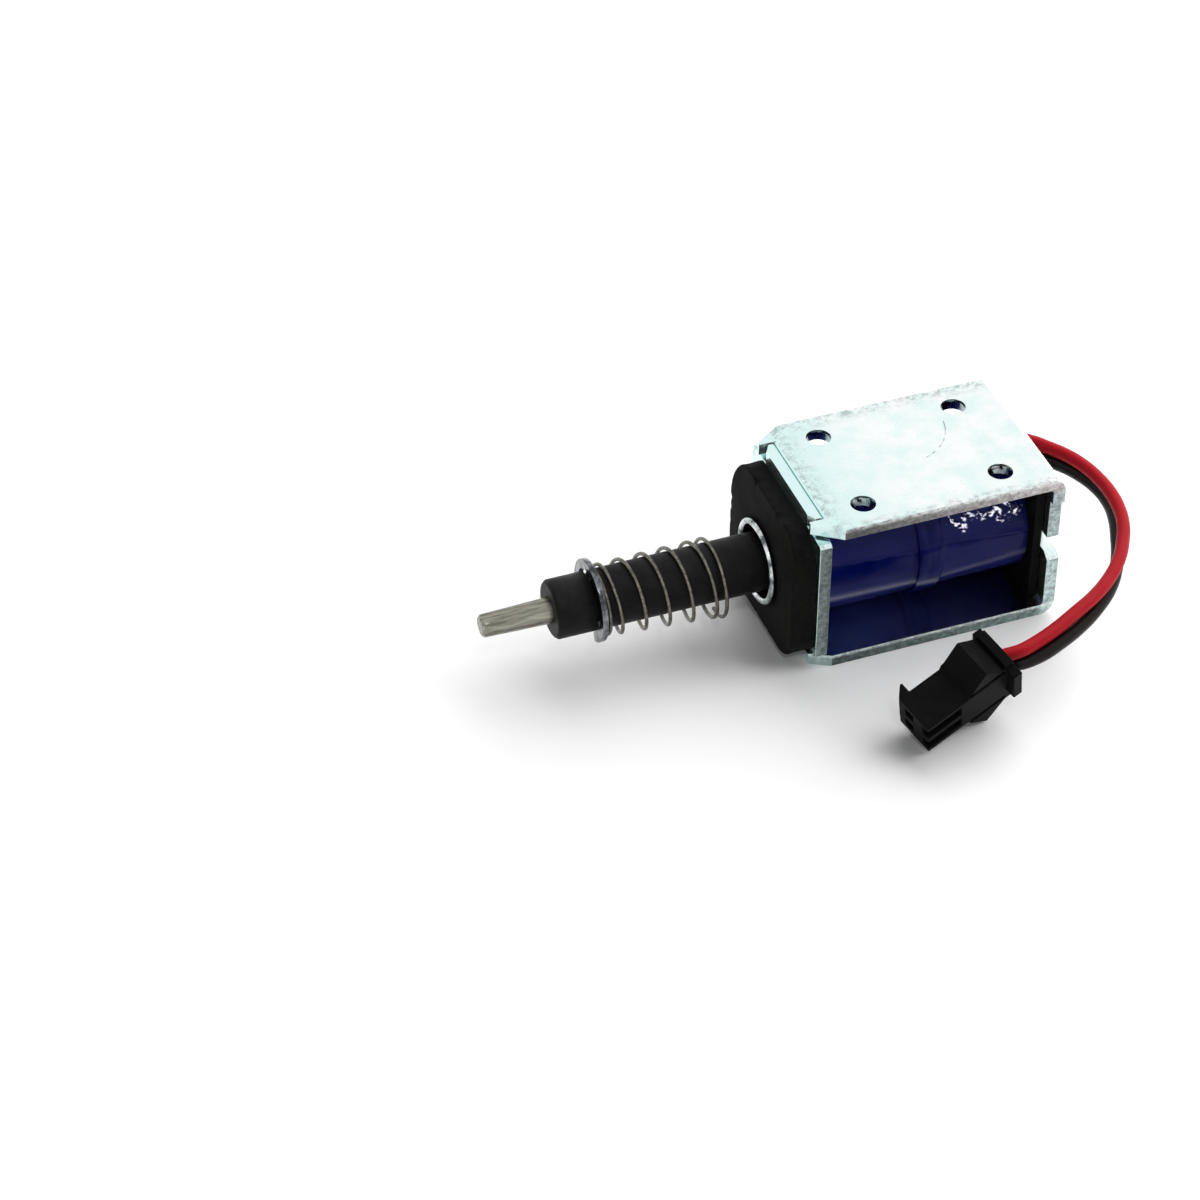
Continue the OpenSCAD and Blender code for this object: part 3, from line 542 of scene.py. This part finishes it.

# %% [markdown]
# ## Pieces made by hand
# Tape, rubber and spring are skins over rows of rings: each ring is a loop of
# points, and quads join one ring to the next. Writing the rings one by one leaves
# the wrinkles and nicks about where the real ones are.


# %% A skin over rings of points
def skin(name, rings, capped):
    """Rings are loops of points in millimetres.

    A skin that isn't capped joins its last ring to its first.
    """
    count = len(rings[0])
    faces = []
    for k in range(len(rings) - 1 if capped else len(rings)):
        here, there = k * count, (k + 1) % len(rings) * count
        for i in range(count):
            j = (i + 1) % count
            faces.append((here + i, here + j, there + j, there + i))
    if capped:
        faces.append(range(count))
        faces.append(range((len(rings) - 1) * count, len(rings) * count))
    mesh = bpy.data.meshes.new(name)
    mesh.from_pydata([Vector(p) * MM for ring in rings for p in ring], [], faces)
    work = bmesh.new()
    work.from_mesh(mesh)
    bmesh.ops.recalc_face_normals(work, faces=work.faces)
    work.to_mesh(mesh)
    work.free()
    mesh.polygons.foreach_set("use_smooth", [True] * len(mesh.polygons))
    mesh.set_sharp_from_angle(angle=math.radians(50))
    piece = bpy.data.objects.new(name, mesh)
    bpy.context.scene.collection.objects.link(piece)
    print(name, "has", len(mesh.polygons), "faces")
    return piece


def stand_for(piece, node, material, body):
    piece.data.materials.append(material)
    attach(piece, body)
    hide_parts(node)


def rise(value, low, high):
    """0 below low, 1 above high, smooth between."""
    t = min(max((value - low) / (high - low), 0), 1)
    return t * t * (3 - 2 * t)


def extent(node):
    """Lowest and highest corner of a CAD piece in millimetres."""
    return [[c / MM for c in corner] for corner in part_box(node)]


low, high = extent("plunger")
AXIS_Z = (low[2] + high[2]) / 2
PLUNGER_R = (high[1] - low[1]) / 2
print("plunger axis at", round(AXIS_Z, 2), "mm")

# %% [markdown]
# ## Tape on the coil
# Two wraps of blue polyester film cover the copper. Film does not stretch, so it
# shows a step where its end is stuck down, a band of puckers where the rear wrap
# laps over the front one, and sharp creases under the top plate, where it was
# pinched. The creases are real geometry. Along them, in short broken pieces, and
# faintly along a soft fold lower down, a painted highlight in white and metal
# stands for the glints of light on the film.

# %% Sizes and creases of the film
TAPE_SIDES = 480
ANGLES = [360 * i / TAPE_SIDES - 180 for i in range(TAPE_SIDES)]
STEP_T = 0.1
TAPE_T = 0.3
front_low, front_high = extent("front_tape")
rear_low, rear_high = extent("rear_tape")
TAPE_R = (front_high[1] - front_low[1]) / 2
FILM_R = TAPE_R - 0.04
LAP_R = (rear_high[1] - rear_low[1]) / 2
LAP_START = front_low[0]
LAP_END = rear_high[0]
# angles of the stuck-down end and of a soft fold lower down: in the frame's middle,
# and how much they change per millimetre towards the front
REAR_END, FRONT_END = (19, 0.66), (16.4, 0.34)
REAR_FOLD, FRONT_FOLD = (-24.5, -0.8), (-22.8, 0.38)
END_WAVE, WAVE_LENGTH = 1.6, 1.4
SWELL = 0.05
FOLD_LIFT = 0.05
CREASE_DEPTH, CREASE_UNEVEN = 0.1, 0.05
CREASE_REACH = 3
JAG = 0.2
# creases as lines of places along the coil and angles above the horizontal
CREASES = [
    [(-2.9, 42), (-3, 36), (-3.6, 33), (-4.1, 33), (-4.4, 28), (-4.8, 27), (-4.8, 30),
     (-4.7, 38), (-5.3, 38), (-6, 36), (-6.6, 38), (-7, 34), (-7.7, 37), (-8.1, 35),
     (-8.8, 40), (-9.2, 37), (-9.1, 28)],
    [(-10.3, 42), (-10.6, 39), (-10.3, 33), (-10.1, 28), (-10.5, 30), (-11, 31),
     (-11.5, 35), (-11.4, 37)],
]


def flat(x, angle):
    """Place on the unrolled film in millimetres."""
    return Vector((x, math.radians(angle) * TAPE_R))


FOLDS = [(flat(*a), flat(*b)) for line in CREASES for a, b in zip(line, line[1:])]
print("film at a radius of", round(TAPE_R, 2), "mm, with", len(FOLDS), "straight pieces of crease")


# %% Where its end, fold and creases are
def film_noise(x, angle, along, across, layer):
    """Smooth noise on the film, with features of so many millimetres along and across."""
    return noise.noise(Vector((x / along, math.radians(angle) * TAPE_R / across, layer)))


def crease_gap(x, angle):
    """Distance on the film to the nearest crease, in millimetres."""
    # no crease comes near the film outside these places and angles
    if not (-13 < x < 1 and 10 < angle < 70):
        return CREASE_REACH
    here = flat(x, angle)
    gaps = [CREASE_REACH]
    for a, b in FOLDS:
        t = min(max((here - a).dot(b - a) / (b - a).length_squared, 0), 1)
        gaps.append((here - a - (b - a) * t).length)
    return min(gaps)


def below_end(x, angle):
    """Angle below the stuck-down end of the film, which is wavy on the front wrap."""
    start, slope = REAR_END if x < LAP_START else FRONT_END
    end = start + slope * x
    if x >= LAP_START:
        end += END_WAVE * noise.noise(Vector((x / WAVE_LENGTH, 0, 0)))
    return (end - angle) % 360


def fold_angle(x):
    """Where the long soft fold lower down runs."""
    start, slope = REAR_FOLD if x < LAP_START else FRONT_FOLD
    return start + slope * x


print("film ends at", round(below_end(0, 0), 1), "degrees above the horizontal")


# %% Height, haze, creases and painted crease glints of the film
def tape_relief(x, angle):
    """Height of the film above its plain radius, at an angle above the horizontal in degrees."""
    below = below_end(x, angle)
    lift = SWELL * film_noise(x, angle, 5, 7, 1.7)
    if below < 180:
        lift -= STEP_T * rise(below, 0, 1.6) * (1 - rise(below, 4, 110))
    lift += FOLD_LIFT * math.exp(-(((angle - fold_angle(x)) / 3) ** 2))
    gap = crease_gap(x, angle)
    if gap < CREASE_REACH:
        depth = CREASE_DEPTH + CREASE_UNEVEN * film_noise(x, angle, 0.5, 0.5, 4.2)
        lift -= depth * rise(gap, 0, 0.4) * (1 - rise(gap, 0.8, CREASE_REACH))
    return lift


def film_haze(x, angle):
    """1 where air lies under the film, 0 where it sticks fast to the copper."""
    below = below_end(x, angle)
    haze = 0.85 + 0.5 * film_noise(x, angle, 4, 3, 9.1)
    if x > LAP_START:
        haze -= rise(below, 0, 1.5) * (1 - rise(below, 15, 26)) * rise(x, 1.5, 5.5)
    else:
        haze -= 0.8 * rise(below, 0, 1) * (1 - rise(below, 1.5, 4))
    lap = rise(x, LAP_START - 0.6, LAP_START) * (1 - rise(x, LAP_END, LAP_END + 0.3))
    haze -= lap * (0.45 + 0.8 * film_noise(x, angle, 0.6, 3, 2.2))
    return min(max(haze, 0), 1)


def painted_crease_glint(x, angle):
    """Painted highlight: 1 on the glints along sharp creases, a little on the soft fold."""
    # painted highlight: a faint streak along the soft fold
    fold = (0.09 if x < LAP_START else 0.2) * math.exp(-(((angle - fold_angle(x)) / 4) ** 2))
    jag_x, jag_y = (JAG * film_noise(x, angle, 0.4, 0.4, layer) for layer in (8.1, 18.1))
    gap = crease_gap(x + jag_x, angle + math.degrees(jag_y / TAPE_R))
    width = 0.06 + 0.24 * max(0, 0.25 + film_noise(x, angle, 0.7, 0.7, 7.7))
    line = 1 - rise(gap, 0.3 * width, width)
    line *= rise(film_noise(x, angle, 0.8, 0.8, 3.1), -0.12, 0.08)
    glint_patch = rise(film_noise(x, angle, 0.45, 0.3, 6.6), 0.22, 0.36)
    glint_patch *= 1 - rise(gap, 0.3, 0.6)
    return max(fold, line, glint_patch)


print("on top of the coil the film is off its plain radius by", round(tape_relief(0, 90), 3), "mm")


# %% Front and rear wrap
PUCKER = 0.07
STUCK_DOWN = 0.05
UNDER_LAP = (LAP_START + 2.4, LAP_START + 3.4)
LAP_GAP = 0.03


def around(x, radius):
    """Ring of points round the axis; radius is a function of the angle in degrees."""
    ring = []
    for angle in ANGLES:
        r, turn = radius(angle), math.radians(angle)
        ring.append((x, r * math.cos(turn), AXIS_Z + r * math.sin(turn)))
    return ring


def spread(start, end, step):
    """Evenly spaced places from start to end, about a step apart."""
    count = max(2, round(abs(end - start) / step) + 1)
    return [start + (end - start) * k / (count - 1) for k in range(count)]


def front_radius(x, angle):
    """Film over the copper, smooth where the rear wrap lies on it."""
    return FILM_R + tape_relief(x, angle) * rise(x, *UNDER_LAP)


def rear_radius(x, angle):
    """Film over the copper, then up over the front wrap, with puckers on the lap."""
    lap = rise(x, LAP_START - 0.5, LAP_START)
    pucker = PUCKER * film_noise(x, angle, 2.5, 0.9, 3.3)
    pucker -= STUCK_DOWN * rise(x, LAP_END - 0.35, LAP_END)
    plain = FILM_R + tape_relief(x, angle)
    return plain + (LAP_R - 0.05 + pucker - plain) * lap


front_x = spread(front_low[0], front_high[0], 0.25)
front_rings = [around(x, lambda a: front_radius(x, a)) for x in front_x]
front_rings += [around(x, lambda a: TAPE_R - TAPE_T) for x in (front_high[0], front_low[0])]
rear_x = spread(rear_low[0], rear_high[0], 0.14)
rear_rings = [around(x, lambda a: rear_radius(x, a)) for x in rear_x]
rear_inside = [
    (rear_high[0], TAPE_R + LAP_GAP), (LAP_START - 0.1, TAPE_R + LAP_GAP),
    (LAP_START - 0.1, TAPE_R - TAPE_T), (rear_low[0], TAPE_R - TAPE_T),
]
rear_rings += [around(x, lambda a: r) for x, r in rear_inside]
front_wrap = skin("front_wrap", front_rings, False)
rear_wrap = skin("rear_wrap", rear_rings, False)


# %% Its finish: deep blue and glossy, hazier over air, with painted white glints along sharp creases
def polyester_film(name):
    """Dyed polyester film over copper; haze and the painted crease glints are stored at the points.
    """
    material, tree, shader = finish(name, Roughness=0.16, IOR=1.6, Specular_IOR_Level=0.06)
    haze = add(tree, "ShaderNodeAttribute", out="Fac", attribute_name="haze")
    crease = add(tree, "ShaderNodeAttribute", out="Fac", attribute_name="crease")
    colour = add(tree, inputs={0: haze, 6: linear("#051158"), 7: linear("#23276a")}, **MIX)
    # painted highlight: the blue is mixed towards white along the creases and the soft fold
    colour = add(tree, inputs={0: crease, 6: colour, 7: linear("#f4f4ff")}, **MIX)
    tree.links.new(colour, shader.inputs["Base Color"])
    # the painted glints also turn metallic, so they mirror the white sky
    glint_metallic = add(tree, "ShaderNodeMapRange", {"Value": crease, "From Min": 0.3, "From Max": 0.7})
    tree.links.new(glint_metallic, shader.inputs["Metallic"])
    return material


def mark(piece, places):
    """Store haze and painted crease glints for each point of a wrap; its last, hidden rings stay
    plain.
    """
    hidden = len(piece.data.vertices) - len(places) * TAPE_SIDES
    for name, measure in (("haze", film_haze), ("crease", painted_crease_glint)):
        values = [measure(x, angle) for x in places for angle in ANGLES] + [0] * hidden
        piece.data.attributes.new(name, "FLOAT", "POINT").data.foreach_set("value", values)
    print(piece.name, "has haze and creases")


film = polyester_film("blue_polyester_film")
mark(front_wrap, front_x)
mark(rear_wrap, rear_x)
stand_for(front_wrap, "front_tape", film, "frame")
stand_for(rear_wrap, "rear_tape", film, "frame")

# %% [markdown]
# ## Taped lead
# The same film is wound round the two soldered joints and the start of the wires.
# It is a lumpy bundle that fills the notch of the back plate and tapers off along
# the coil.

# %% Bundle
bundle_low, bundle_high = extent("lead_wrap")
BUNDLE_TAPER = (bundle_high[1] - bundle_low[1]) / 2
BUNDLE_POINTS = 48
SQUARENESS = 0.7
LUMP = 0.06
SPIRAL_STEP = 0.05
SPIRAL_PITCH = 2.6
COIL_END = rear_low[0]


def bundle_ring(x):
    ring = []
    outer = bundle_low[1] + max(0, x - (bundle_high[0] - BUNDLE_TAPER))
    middle = ((outer + bundle_high[1]) / 2, (bundle_low[2] + bundle_high[2]) / 2)
    half = ((bundle_high[1] - outer) / 2, (bundle_high[2] - bundle_low[2]) / 2)
    for i in range(BUNDLE_POINTS):
        turn = 2 * math.pi * i / BUNDLE_POINTS
        c, s = math.cos(turn), math.sin(turn)
        lump = 1 - LUMP + LUMP * noise.noise(Vector((x / 1.3, 1.6 * c, 1.6 * s)))
        lump -= SPIRAL_STEP * ((x / SPIRAL_PITCH + i / BUNDLE_POINTS) % 1)
        y = middle[0] + half[0] * lump * math.copysign(abs(c) ** SQUARENESS, c)
        z = middle[1] + half[1] * lump * math.copysign(abs(s) ** SQUARENESS, s)
        gap = math.hypot(y, z - AXIS_Z) / (TAPE_R + 0.08)
        # where it runs along the coil, it is pressed flat against the tape
        if x > COIL_END - 0.2 and gap < 1:
            y, z = y / gap, AXIS_Z + (z - AXIS_Z) / gap
        ring.append((x, y, z))
    return ring


bundle_rings = [bundle_ring(x) for x in spread(bundle_low[0], bundle_high[0], 0.3)]
bundle = skin("taped_lead", bundle_rings, True)
cloudy = [0.6 + 0.6 * noise.noise(Vector(p) / 1.5) for ring in bundle_rings for p in ring]
bundle.data.attributes.new("haze", "FLOAT", "POINT").data.foreach_set("value", cloudy)
stand_for(bundle, "lead_wrap", film, "frame")

# %% [markdown]
# ## Rubber bumper
# The pad is punched from rubber sheet. A punched edge is not sharp: it is rounded
# over, and small nicks show where the rubber tore. The rings run from the hole's
# rear edge over the sides and the front back into the hole.

# %% Bumper
pad_low, pad_high = extent("rubber_bumper")
PAD_R = 5
FAR_TOP_R = 3.9
NEAR_LOW_R = 3.8
LEAN = 0.7
LEAN_SPAN = (3, 9)
NICK_SIZE = 1.1
NICK_FROM = 0.28
FAR_TOP_TEAR = 1.6
PAD_EDGE = 0.3
HOLE_R = 4.8
PAD_POINTS = 240
x0, x1 = pad_low[0], pad_high[0]


def pad_outline(inset):
    """Rounded rectangle, evenly spaced by angle from its middle; two corners are sharper."""
    half = [(pad_high[k] - pad_low[k]) / 2 - inset for k in (1, 2)]
    points = []
    for i in range(PAD_POINTS):
        turn = 2 * math.pi * i / PAD_POINTS
        c, s = math.cos(turn), math.sin(turn)
        corner = (FAR_TOP_R if c < 0 < s else NEAR_LOW_R if s < 0 < c else PAD_R) - inset
        # halve the stretch of the ray that holds the outline, from 20 mm down
        low_t, high_t = 0, 20
        for _ in range(40):
            t = (low_t + high_t) / 2
            dy, dz = abs(c * t) - (half[0] - corner), abs(s * t) - (half[1] - corner)
            inside = math.hypot(max(dy, 0), max(dz, 0)) + min(max(dy, dz), 0) < corner
            low_t, high_t = (t, high_t) if inside else (low_t, t)
        points.append((c * low_t, s * low_t))
    return points


def pad_ring(x, inset, torn=0.0):
    ring = []
    for y, z in pad_outline(inset):
        tear = noise.noise(Vector((y / NICK_SIZE, z / NICK_SIZE, 6.4))) - NICK_FROM
        bite = max(0, tear) * torn * (FAR_TOP_TEAR if y < 0 < z else 1)
        pull = 1 - bite / math.hypot(y, z)
        back = LEAN * rise(z, *LEAN_SPAN) * (x - x0) / (x1 - x0)
        ring.append((x - bite * 0.6 - back, y * pull, AXIS_Z + z * pull))
    return ring


def hole_ring(x, radius):
    turns = [2 * math.pi * i / PAD_POINTS for i in range(PAD_POINTS)]
    return [(x, radius * math.cos(t), AXIS_Z + radius * math.sin(t)) for t in turns]


pad_rings = [hole_ring(x0, HOLE_R), pad_ring(x0, 0.05), pad_ring(x0 + 0.05, 0)]
pad_rings += [pad_ring(x0 + (x1 - x0) * f, 0.06 * math.sin(math.pi * f)) for f in (0.25, 0.5, 0.75)]
pad_rings += [
    pad_ring(x1 - PAD_EDGE * (1 - math.sin(a)), PAD_EDGE * (1 - math.cos(a)), 0.5)
    for a in (0, 0.4, 0.8, 1.2, math.pi / 2)
]
pad_rings += [pad_ring(x1, PAD_EDGE + inset) for inset in (0.3, 0.8, 1.6)]
pad_rings += [hole_ring(x1, HOLE_R + 0.15), hole_ring(x1 - 0.1, HOLE_R)]
stand_for(skin("punched_pad", pad_rings, False), "rubber_bumper", rubber, "frame")

# %% [markdown]
# ## Return spring
# The spring is one length of drawn wire: a closed turn at the clip, open turns
# that grow wider towards the eyelet, and a closed turn at the end. It is loose on
# the plunger, so it hangs from its top. When the plunger goes in, the spring is
# pressed together between the clip and the eyelet.

# %% Spring
spring_low, spring_high = extent("return_spring")
SPRING_WIRE = 0.45
SPRING_OD = (8.4, 9.8)
CLIP_TURNS = 1.1
REST_TURNS = 1.2
END_PITCH = 1.1
OPEN_TURNS = 4.2
TURN_STEPS = 60
WIRE_SIDES = 12
HANG = 0.05
turns = CLIP_TURNS + OPEN_TURNS + REST_TURNS
spring_run = spring_high[0] - spring_low[0] - SPRING_WIRE
open_pitch = (spring_run - (CLIP_TURNS + REST_TURNS) * END_PITCH) / OPEN_TURNS


def spring_ring(turn):
    run = (min(turn, CLIP_TURNS) + max(0, turn - turns + REST_TURNS)) * END_PITCH
    run += min(max(turn - CLIP_TURNS, 0), OPEN_TURNS) * open_pitch
    x = spring_high[0] - SPRING_WIRE / 2 - run
    coil_r = (SPRING_OD[0] + (SPRING_OD[1] - SPRING_OD[0]) * turn / turns - SPRING_WIRE) / 2
    middle = AXIS_Z + PLUNGER_R + HANG + SPRING_WIRE / 2 - coil_r
    a = 2 * math.pi * turn
    ring = []
    for i in range(WIRE_SIDES):
        b = 2 * math.pi * i / WIRE_SIDES
        r = coil_r + SPRING_WIRE / 2 * math.cos(b)
        ring.append((x + SPRING_WIRE / 2 * math.sin(b), r * math.sin(a), middle + r * math.cos(a)))
    return ring


steps = round(turns * TURN_STEPS)
spring = skin("coil_spring", [spring_ring(turns * k / steps) for k in range(steps + 1)], True)
stand_for(spring, "return_spring", drawn, "plunger")
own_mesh(spring)
